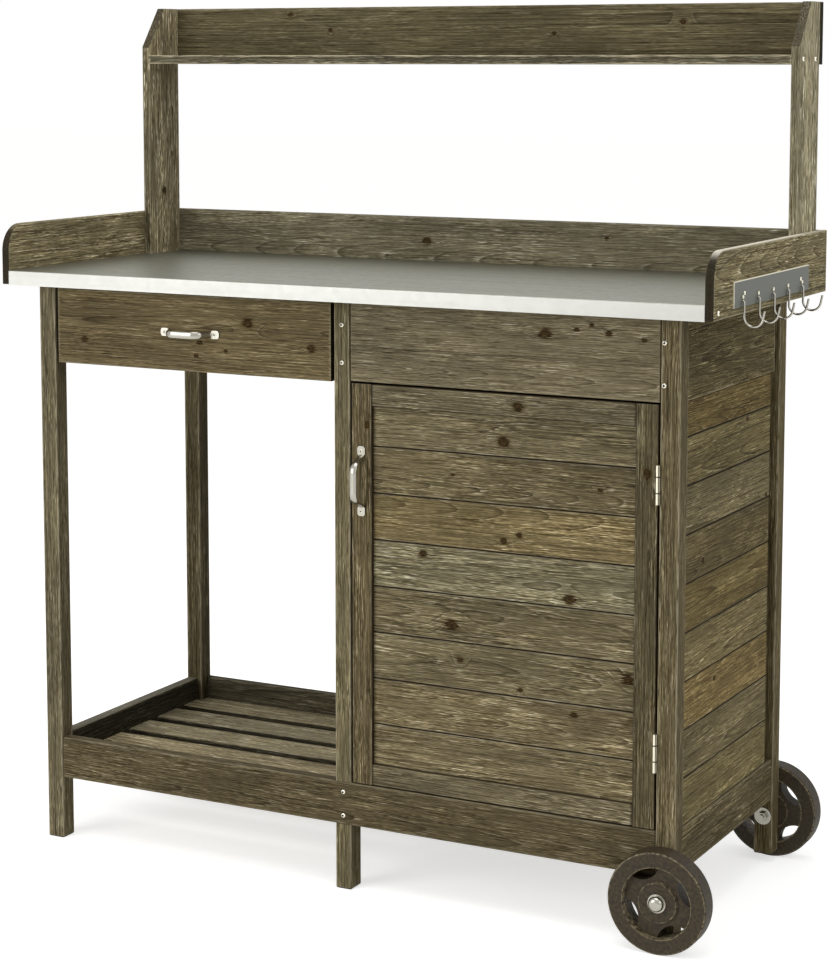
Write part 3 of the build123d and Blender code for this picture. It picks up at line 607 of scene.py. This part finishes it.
apron = {
    "tone": 1.13,
    "tint": "#fafcff",
    "strength": 0.7,
    "endShade": 1.0,
    "knots": [(303, 828, 8), (350, 836, 3), (372, 843, 2.5), (397, 833, 4), (448, 827, 3)],
}
stainFir("front_apron", seed=63, **longBoards, **apron)
drawerFront = {
    "tone": 0.97,
    "tint": "#fff2dd",
    "strength": 0.6,
    "knots": [
        (-167, 819, 7), (-454, 781, 5), (-250, 785, 4), (-62, 787, 6), (-256, 766, 3), (-205, 776, 2.5),
    ],
}
stainFir("drawer_front", seed=64, **longBoards, **drawerFront)
doorPlanks = {
    "rows": (plankStarts["door"], plankPitch, plankPitch),
    "tone": 1.42,
    "endShade": 1.0,
    "wear": 0.2,
    "tints": ("#f1eadd", "#e2ded5", "#deddd6", "#dddad2", "#f2f2ec", "#f1ead7", "#cfcdc5", "#e2dfd7"),
    "knots": [
        (239, 674, 7), (161, 622, 2.5), (384, 619, 3), (264, 546, 4), (240, 536, 4), (115, 506, 5),
        (340, 464, 7), (160, 409, 8), (173, 360, 4), (427, 363, 8), (266, 329, 3), (348, 304, 5),
    ],
}
stainFir("door_planks", seed=65, **longBoards, **tongued, **doorPlanks)
# door frame: the seams are painted shade along the gaps at the boards' edges
doorFrame = {"seamShade": 0.9, "wear": 0.1}
doorRails = {"endShade": 0.6, **longBoards, **doorFrame}
stainFir("door_top_rail", seed=66, tone=0.92, knots=[(264, 726, 7)], **doorRails)
stainFir("door_bottom_rail", seed=67, **doorRails)
stiles = {"grain": "Z", "face": "Y", "tint": "#fff9ec", **doorFrame}
stainFir("door_left_stile", seed=68, tone=0.74, knots=[(684, 28, 4)], **stiles)
stainFir("door_right_stile", seed=69, tone=0.72, knots=[(648, 454, 6)], **stiles)

print("metal and plastic")

# Galvanised steel: dull zinc with a faint crystal spangle and rolling streaks; the folded lip is painted
# brighter than the top, a painted highlight
galvanised = {
    "zinc": "#8f8f82",
    "dull": "#828275",
    "lipHighlight": "#a5a5a0",
    "spangle": 9,
    "spangleShare": 0.35,
    "streakWidth": 7,
    "streakLength": 420,
    "shades": {"From Min": 0.3, "From Max": 1.0},
    "roughness": {"To Min": 0.48, "To Max": 0.38},
}


def makeGalvanised():
    material, tree = newMaterial("galvanisedSteel")
    scaled, normal = objectPlace(tree)
    grain = (1 / galvanised["spangle"],) * 3
    cells = addNode(tree, "VectorMath", {"operation": "MULTIPLY", 1: grain}, {0: scaled})
    spangle = addNode(tree, "TexVoronoi", {"Scale": 1.0}, {"Vector": cells})
    thin = 1 / galvanised["streakWidth"]
    rolling = (1 / galvanised["streakLength"], thin, thin)
    rolled = addNode(tree, "VectorMath", {"operation": "MULTIPLY", 1: rolling}, {0: scaled})
    streak = addNode(tree, "TexNoise", {"Scale": 1.0, "Detail": 4}, {"Vector": rolled})
    crystals = addNode(tree, "SeparateXYZ", links={0: spangle.outputs["Color"]}).outputs
    shade = addNode(
        tree,
        "Math",
        {"operation": "MULTIPLY_ADD", 1: galvanised["spangleShare"]},
        {0: crystals[0], 2: streak.outputs[0]},
    )
    share = addNode(tree, "MapRange", galvanised["shades"], {"Value": shade})
    top = addNode(
        tree,
        "Mix",
        {"data_type": "RGBA", 6: hexColor(galvanised["dull"]), 7: hexColor(galvanised["zinc"])},
        {0: share},
    )
    facing = addNode(tree, "SeparateXYZ", links={0: normal}).outputs
    flat = addNode(tree, "Math", {"operation": "ABSOLUTE"}, {0: facing[2]})
    # painted highlight: faces that don't lie level, the lip, take the lighter lip colour
    color = addNode(
        tree, "Mix", {"data_type": "RGBA", 6: hexColor(galvanised["lipHighlight"])}, {0: flat, 7: top.outputs[2]}
    )
    rough = addNode(tree, "MapRange", {**galvanised["shades"], **galvanised["roughness"]}, {"Value": shade})
    surface = addNode(
        tree, "BsdfPrincipled", {"Metallic": 1.0}, {"Base Color": color.outputs[2], "Roughness": rough}
    )
    addNode(tree, "OutputMaterial", links={"Surface": surface})
    return material


dress("worktop_sheet", makeGalvanised())


# Plated steel: bright, with a little haze in the gloss
hazeSize = 6  # mm


def makePlated(name, color, roughness, haze):
    material, tree = newMaterial(name)
    scaled = objectPlace(tree, hazeSize)[0]
    cloud = addNode(tree, "TexNoise", {"Scale": 1.0, "Detail": 3}, {"Vector": scaled})
    rough = addNode(
        tree, "MapRange", {"To Min": roughness, "To Max": roughness + haze}, {"Value": cloud.outputs[0]}
    )
    surface = addNode(
        tree, "BsdfPrincipled", {"Metallic": 1.0, "Base Color": hexColor(color)}, {"Roughness": rough}
    )
    addNode(tree, "OutputMaterial", links={"Surface": surface})
    return material


nickel = makePlated("nickelPlatedSteel", "#a5a298", roughness=0.14, haze=0.12)
for node in (
    "door_handle", "drawer_handle", "tool_hooks",
    "front_axle_bolt", "rear_axle_bolt", "axle_washers", "axle_nuts",
):
    dress(node, nickel)
zinc = makePlated("zincPlatedSteel", "#cfc8ae", roughness=0.3, haze=0.2)
for node in ("hinge_pins", "catch_strike"):
    dress(node, zinc)


# The hinges: the same zinc, with painted shade in a line down the rolled barrel and in the gaps between its
# knuckles
hinge = {
    "zinc": "#d8d2bc",
    "paintedShade": "#1d1912",
    "roughness": 0.35,
    "seamShade": 0.62,  # where on the barrel's round the painted shade line lies, as the normal's x
    "seamWidth": 0.2,
    "height": 53,
    "knuckle": 22,
    "gap": 1.0,
}


def makeHinge():
    material, tree = newMaterial("zincPlatedHinge")
    low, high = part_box("hinge_frame_leaves")
    scaled, normal = objectPlace(tree)
    place = addNode(tree, "SeparateXYZ", links={0: scaled}).outputs
    facing = addNode(tree, "SeparateXYZ", links={0: normal}).outputs
    # painted shade: a line down the barrel at one place on its round, and one across each knuckle gap
    lines = [(facing[0], hinge["seamShade"], hinge["seamWidth"])]
    for middle in (low.z / mm + hinge["height"] / 2, high.z / mm - hinge["height"] / 2):
        for side in (-0.5, 0.5):
            lines.append((place[2], middle + side * hinge["knuckle"], hinge["gap"]))
    shadeLines = None
    for source, at, width in lines:
        away = addNode(tree, "Math", {"operation": "SUBTRACT", 1: at}, {0: source})
        distance = addNode(tree, "Math", {"operation": "ABSOLUTE"}, {0: away})
        line = addNode(
            tree, "MapRange", {"From Min": width, "From Max": lineCore * width}, {"Value": distance}
        )
        if shadeLines is not None:
            line = addNode(tree, "Math", {"operation": "MAXIMUM"}, {0: shadeLines, 1: line})
        shadeLines = line
    color = addNode(
        tree,
        "Mix",
        {"data_type": "RGBA", 6: hexColor(hinge["zinc"]), 7: hexColor(hinge["paintedShade"])},
        {0: shadeLines},
    )
    surface = addNode(
        tree,
        "BsdfPrincipled",
        {"Metallic": 1.0, "Roughness": hinge["roughness"]},
        {"Base Color": color.outputs[2]},
    )
    addNode(tree, "OutputMaterial", links={"Surface": surface})
    return material


hingeZinc = makeHinge()
for node in ("hinge_frame_leaves", "hinge_door_leaves"):
    dress(node, hingeZinc)


# The hooks' plate: dull zinc, with a painted highlight along the edges of its top and its front end
hookPlate = {"zinc": "#666861", "cut": "#e4dfcb", "edge": 1.6, "metallic": 0.8, "roughness": 0.5}


def makeHookPlate():
    material, tree = newMaterial("dullZincPlate")
    low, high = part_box("hook_plate")
    coordinates = addNode(tree, "TexCoord")
    place = addNode(tree, "SeparateXYZ", links={0: coordinates.outputs["Object"]}).outputs
    fromTop = addNode(tree, "Math", {"operation": "SUBTRACT", 0: high.z}, {1: place[2]})
    fromEnd = addNode(tree, "Math", {"operation": "SUBTRACT", 1: low.y}, {0: place[1]})
    nearest = addNode(tree, "Math", {"operation": "MINIMUM"}, {0: fromTop, 1: fromEnd})
    edge = hookPlate["edge"] * mm
    # painted highlight: the last edge width along the plate's top and its front end is light
    cut = addNode(tree, "MapRange", {"From Min": edge, "From Max": lineCore * edge}, {"Value": nearest})
    color = addNode(
        tree,
        "Mix",
        {"data_type": "RGBA", 6: hexColor(hookPlate["zinc"]), 7: hexColor(hookPlate["cut"])},
        {0: cut},
    )
    surface = addNode(
        tree,
        "BsdfPrincipled",
        {"Metallic": hookPlate["metallic"], "Roughness": hookPlate["roughness"]},
        {"Base Color": color.outputs[2]},
    )
    addNode(tree, "OutputMaterial", links={"Surface": surface})
    return material


dress("hook_plate", makeHookPlate())


# The catch, moulded polypropylene: matt dark brown with a fine orange peel
catch = {"dark": "#3a3026", "light": "#4a3f33", "peel": 4, "bump": 0.2, "relief": 0.3, "roughness": 0.55}


def makeCatch():
    material, tree = newMaterial("mouldedCatchPlastic")
    scaled = objectPlace(tree, catch["peel"])[0]
    peel = addNode(tree, "TexNoise", {"Scale": 1.0, "Detail": 4}, {"Vector": scaled})
    shade = addNode(
        tree,
        "Mix",
        {"data_type": "RGBA", 6: hexColor(catch["dark"]), 7: hexColor(catch["light"])},
        {0: peel.outputs[0]},
    )
    relief = {"Strength": catch["bump"], "Distance": catch["relief"] * mm}
    bump = addNode(tree, "Bump", relief, {"Height": peel.outputs[0]})
    surface = addNode(
        tree,
        "BsdfPrincipled",
        {"Roughness": catch["roughness"]},
        {"Base Color": shade.outputs[2], "Normal": bump},
    )
    addNode(tree, "OutputMaterial", links={"Surface": surface})
    return material


dress("catch_body", makeCatch())

# The wheels: the same plastic, mottled, with painted highlights on the moulded edges round the hub, the
# recess and the tread
wheel = {
    "dark": "#251e13",
    "light": "#423824",
    # the colour of the painted highlights on the moulded edges
    "edge": "#978a6c",
    "edges": (27.5, 49.5, 69.5),
    "highlightLine": {"From Min": 1.3, "From Max": 0.3, "To Max": 0.9},
    "mottle": (5, 5, 5),
    "mottled": {"From Min": 0.38, "From Max": 0.66},
    "bump": 0.3,
    "relief": 0.4,
    "roughness": 0.6,
    "sheen": 0.3,
}


def makeWheel(node):
    material, tree = newMaterial("mouldedPolypropylene_" + node)
    low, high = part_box(node)
    middle = (low + high) / 2 / mm
    scaled = objectPlace(tree, middle=middle)[0]
    spots = addNode(tree, "VectorMath", {"operation": "DIVIDE", 1: wheel["mottle"]}, {0: scaled})
    mottle = addNode(tree, "TexNoise", {"Scale": 1.0, "Detail": 4, "Roughness": 0.65}, {"Vector": spots})
    share = addNode(tree, "MapRange", wheel["mottled"], {"Value": mottle.outputs[0]})
    color = addNode(
        tree,
        "Mix",
        {"data_type": "RGBA", 6: hexColor(wheel["dark"]), 7: hexColor(wheel["light"])},
        {0: share},
    )
    flat = addNode(tree, "VectorMath", {"operation": "MULTIPLY", 1: (1, 0, 1)}, {0: scaled})
    radius = addNode(tree, "VectorMath", {"operation": "LENGTH"}, {0: flat}).outputs["Value"]
    for edge in wheel["edges"]:
        away = addNode(tree, "Math", {"operation": "SUBTRACT", 1: edge}, {0: radius})
        distance = addNode(tree, "Math", {"operation": "ABSOLUTE"}, {0: away})
        line = addNode(tree, "MapRange", wheel["highlightLine"], {"Value": distance})
        # painted highlight on each rounded edge, stronger where the mottle is light
        rubbed = addNode(tree, "Math", {"operation": "MULTIPLY"}, {0: line, 1: share})
        color = addNode(
            tree,
            "Mix",
            {"data_type": "RGBA", 7: hexColor(wheel["edge"])},
            {0: rubbed, 6: color.outputs[2]},
        )
    relief = {"Strength": wheel["bump"], "Distance": wheel["relief"] * mm}
    bump = addNode(tree, "Bump", relief, {"Height": mottle.outputs[0]})
    surface = addNode(
        tree,
        "BsdfPrincipled",
        {"Roughness": wheel["roughness"], "Specular IOR Level": wheel["sheen"]},
        {"Base Color": color.outputs[2], "Normal": bump},
    )
    addNode(tree, "OutputMaterial", links={"Surface": surface})
    dress(node, material)


makeWheel("front_wheel")
makeWheel("rear_wheel")

# Screws: zinc-plated pan heads with a cross recess, unlit inside, and the hooks' plain rivets
print("screws and rivets")
screwSteel = makePlated("zincPlatedScrew", "#e6e2d2", roughness=0.22, haze=0.15)
recessSteel = makePlated("unlitRecess", "#1a1712", roughness=0.6, haze=0.1)
screw = {"radius": 3.5, "height": 2.1, "recess": 4.6, "arm": 2.2, "depth": 1.6, "taper": 0.6}
rivet = {"radius": 3.2, "height": 1.8, "dome": 1.5}
turns = {"-Y": (90, 0, 0), "+X": (0, 90, 0), "-X": (0, -90, 0)}
roundSides = 24
level = 0.9  # a face whose normal's z is past this lies level
smoothAngle = math.radians(35)


def modelScrew():
    bpy.ops.object.select_all(action="DESELECT")
    bpy.ops.mesh.primitive_uv_sphere_add(
        segments=roundSides, ring_count=roundSides // 2, radius=screw["radius"] * mm
    )
    head = bpy.context.object
    head.data.materials.append(screwSteel)
    bpy.ops.object.mode_set(mode="EDIT")
    bpy.ops.mesh.select_all(action="SELECT")
    bpy.ops.mesh.bisect(plane_co=(0, 0, 0), plane_no=(0, 0, 1), use_fill=True, clear_inner=True)
    bpy.ops.mesh.select_all(action="SELECT")
    flat = screw["height"] / screw["radius"]
    bpy.ops.transform.resize(value=(1, 1, flat), center_override=(0, 0, 0))
    bpy.ops.object.mode_set(mode="OBJECT")
    for turn in (0, 90):
        bpy.ops.object.select_all(action="DESELECT")
        bpy.ops.mesh.primitive_cube_add(
            size=1,
            location=(0, 0, screw["height"] * mm),
            rotation=(0, 0, math.radians(turn)),
            scale=(screw["recess"] * mm, screw["arm"] * mm, 2 * screw["depth"] * mm),
        )
        cutter = bpy.context.object
        cutter.data.materials.append(recessSteel)
        bpy.ops.object.mode_set(mode="EDIT")
        bpy.ops.mesh.select_all(action="DESELECT")
        bpy.ops.object.mode_set(mode="OBJECT")
        for polygon in cutter.data.polygons:
            polygon.select = polygon.normal.z < -level
        bpy.ops.object.mode_set(mode="EDIT")
        bpy.ops.transform.resize(value=(screw["taper"], screw["taper"], 1))
        bpy.ops.object.mode_set(mode="OBJECT")
        bpy.context.view_layer.objects.active = head
        recess = head.modifiers.new("recess", "BOOLEAN")
        recess.object = cutter
        recess.operation = "DIFFERENCE"
        recess.material_mode = "TRANSFER"
        bpy.ops.object.modifier_apply(modifier=recess.name)
        bpy.data.objects.remove(cutter)
    bpy.ops.object.select_all(action="DESELECT")
    head.select_set(True)
    bpy.ops.object.shade_smooth_by_angle(angle=smoothAngle)
    return head


def modelRivet():
    bpy.ops.object.select_all(action="DESELECT")
    bpy.ops.mesh.primitive_cylinder_add(
        vertices=roundSides,
        radius=rivet["radius"] * mm,
        depth=rivet["height"] * mm,
        location=(0, 0, rivet["height"] * mm / 2),
    )
    head = bpy.context.object
    head.data.materials.append(screwSteel)
    bpy.ops.object.transform_apply(location=True, rotation=False, scale=False)
    for polygon in head.data.polygons:
        polygon.select = polygon.normal.z > level
    bpy.ops.object.mode_set(mode="EDIT")
    bpy.ops.mesh.bevel(offset=rivet["dome"] * mm, segments=4, affect="EDGES")
    bpy.ops.object.mode_set(mode="OBJECT")
    bpy.ops.object.shade_smooth_by_angle(angle=smoothAngle)
    return head


# Sets copies of a modelled head on the spots (x, y, z in mm) of one face, as one piece of a body
def fasten(model, name, body, spots, turn, scale=1.0):
    bpy.ops.object.select_all(action="DESELECT")
    for spot in spots:
        copy = model.copy()
        copy.data = model.data.copy()
        copy.location = [value * mm for value in spot]
        copy.rotation_euler = [math.radians(angle) for angle in turns[turn]]
        copy.scale = (scale,) * 3
        bpy.context.scene.collection.objects.link(copy)
        copy.select_set(True)
        bpy.context.view_layer.objects.active = copy
    bpy.ops.object.join()
    bpy.ops.object.transform_apply(location=True, rotation=True, scale=True)
    piece = bpy.context.object
    piece.name = name
    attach(piece, body)


screwHead = modelScrew()
rivetHead = modelRivet()
boxes = {
    node: [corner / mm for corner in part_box(node)]
    for node in (
        "front_middle_post", "front_right_leg", "left_upright", "right_upright", "right_side_board",
        "hook_plate", "drawer_front", "door_left_stile", "drawer_handle", "door_handle",
    )
}
postLow, postHigh = boxes["front_middle_post"]
postMiddle = (postLow.x + postHigh.x) / 2
postHeights = (110, 145, 770, 824)
fasten(screwHead, "middlePostScrews", "frame", [(postMiddle, postLow.y, z) for z in postHeights], "-Y")
legLow, legHigh = boxes["front_right_leg"]
legScrews = {"inset": 4.5, "upper": (768, 825), "lower": 132}
legSpots = [(legLow.x + legScrews["inset"], legLow.y, z) for z in legScrews["upper"]]
legSpots.append((legHigh.x - legScrews["inset"], legLow.y, legScrews["lower"]))
fasten(screwHead, "frontLegScrews", "frame", legSpots, "-Y")
shelfScrews = {"height": 1197, "depths": (146, 200)}
for node, turn, end in (("left_upright", "-X", 0), ("right_upright", "+X", 1)):
    outside = boxes[node][end].x
    spots = [(outside, y, shelfScrews["height"]) for y in shelfScrews["depths"]]
    fasten(screwHead, node + "_screws", "frame", spots, turn)
boardLow, boardHigh = boxes["right_side_board"]
boardScrew = {"fromFront": 19, "fromBottom": 9}
boardCorner = (boardHigh.x, boardLow.y + boardScrew["fromFront"], boardLow.z + boardScrew["fromBottom"])
fasten(screwHead, "sideBoardScrew", "frame", [boardCorner], "+X")
plateLow, plateHigh = boxes["hook_plate"]
plateMiddle = (plateLow.y + plateHigh.y) / 2
plateScrews = {"height": 887, "fromMiddle": (-113, 119), "scale": 0.8}
plateSpots = [(plateHigh.x, plateMiddle + y, plateScrews["height"]) for y in plateScrews["fromMiddle"]]
fasten(screwHead, "hookPlateScrews", "frame", plateSpots, "+X", plateScrews["scale"])
hooks = {"count": 5, "pitch": 61, "rivetRise": 13.6}
rivetSpots = []
for index in range(hooks["count"]):
    aside = (index - hooks["count"] // 2) * hooks["pitch"]
    rivetSpots.append((plateHigh.x, plateMiddle + aside, plateLow.z + hooks["rivetRise"]))
fasten(rivetHead, "hookRivets", "frame", rivetSpots, "+X")
handlePlate = {"width": 14, "thickness": 2, "screwScale": 0.7}
for body, face, across in (("drawer", "drawer_front", 0), ("door", "door_left_stile", 2)):
    low, high = boxes[body + "_handle"]
    spots = []
    for end in (low[across] + handlePlate["width"] / 2, high[across] - handlePlate["width"] / 2):
        spot = [(low.x + high.x) / 2, boxes[face][0].y - handlePlate["thickness"], (low.z + high.z) / 2]
        spot[across] = end
        spots.append(spot)
    fasten(screwHead, body + "HandleScrews", body, spots, "-Y", handlePlate["screwScale"])
for model in (screwHead, rivetHead):
    bpy.data.objects.remove(model)

# Studio: a white paper floor that keeps the shadow, a white world and three softboxes
print("studio")


# 1 for rays that see the studio itself: the camera's, a mirror's and those through glass
def studioRays(tree):
    seen = addNode(tree, "LightPath").outputs
    clear = seen["Is Camera Ray"]
    for ray in ("Is Glossy Ray", "Is Transmission Ray"):
        clear = addNode(tree, "Math", {"operation": "MAXIMUM"}, {0: clear, 1: seen[ray]}).outputs[0]
    return clear


floor = {"size": 60, "paint": "#e8e8e6", "lift": 0.6}
bpy.ops.object.select_all(action="DESELECT")
bpy.ops.mesh.primitive_plane_add(size=floor["size"])
floorObject = bpy.context.object
floorObject.name = "studioFloor"
material, tree = newMaterial("paperFloor")
paper = addNode(tree, "BsdfDiffuse", {"Color": hexColor(floor["paint"])})
lift = addNode(tree, "Math", {"operation": "MULTIPLY", 1: floor["lift"]}, {0: studioRays(tree)})
glow = addNode(tree, "Emission", links={"Strength": lift})
both = addNode(tree, "AddShader", links={0: paper, 1: glow})
addNode(tree, "OutputMaterial", links={"Surface": both})
floorObject.data.materials.append(material)

world = bpy.data.worlds.new("studioWorld")
bpy.context.scene.world = world
world.use_nodes = True
tree = world.node_tree
tree.nodes.clear()
studio = {"ambient": 0.5, "white": 1.0}
strength = addNode(
    tree, "MapRange", {"To Min": studio["ambient"], "To Max": studio["white"]}, {"Value": studioRays(tree)}
)
sky = addNode(tree, "Background", {"Color": (1, 1, 1, 1)}, {"Strength": strength})
addNode(tree, "OutputWorld", links={"Surface": sky})

lamps = {
    "frontSoftbox": {"place": (-1.9, -3.3, 1.5), "size": 2.2, "watts": 62},
    "sideSoftbox": {"place": (3.2, -0.9, 1.9), "size": 2.0, "watts": 15},
    "topSoftbox": {"place": (0.2, -0.6, 3.4), "size": 2.2, "watts": 42},
}
aim = Vector((0, 0, 0.65))
for name, lamp in lamps.items():
    bpy.ops.object.select_all(action="DESELECT")
    bpy.ops.object.light_add(type="AREA", location=lamp["place"])
    light = bpy.context.object
    light.name = name
    light.data.size = lamp["size"]
    light.data.energy = lamp["watts"]
    light.rotation_euler = (aim - Vector(lamp["place"])).to_track_quat("-Z", "Y").to_euler()

# Camera: found from the photograph's straight edges
view = {
    "place": (1.6408, -3.1452, 1.1964),
    "azimuth": 27.627,
    "down": 6.581,
    "lens": 89.9,
    "sensor": 36,
    "shiftY": -0.15,
}
bpy.ops.object.select_all(action="DESELECT")
bpy.ops.object.camera_add(
    location=view["place"], rotation=(math.radians(90 - view["down"]), 0, math.radians(view["azimuth"]))
)
camera = bpy.context.object
camera.name = "benchCamera"
camera.data.lens = view["lens"]
camera.data.sensor_width = view["sensor"]
camera.data.shift_y = view["shiftY"]
bpy.context.scene.camera = camera
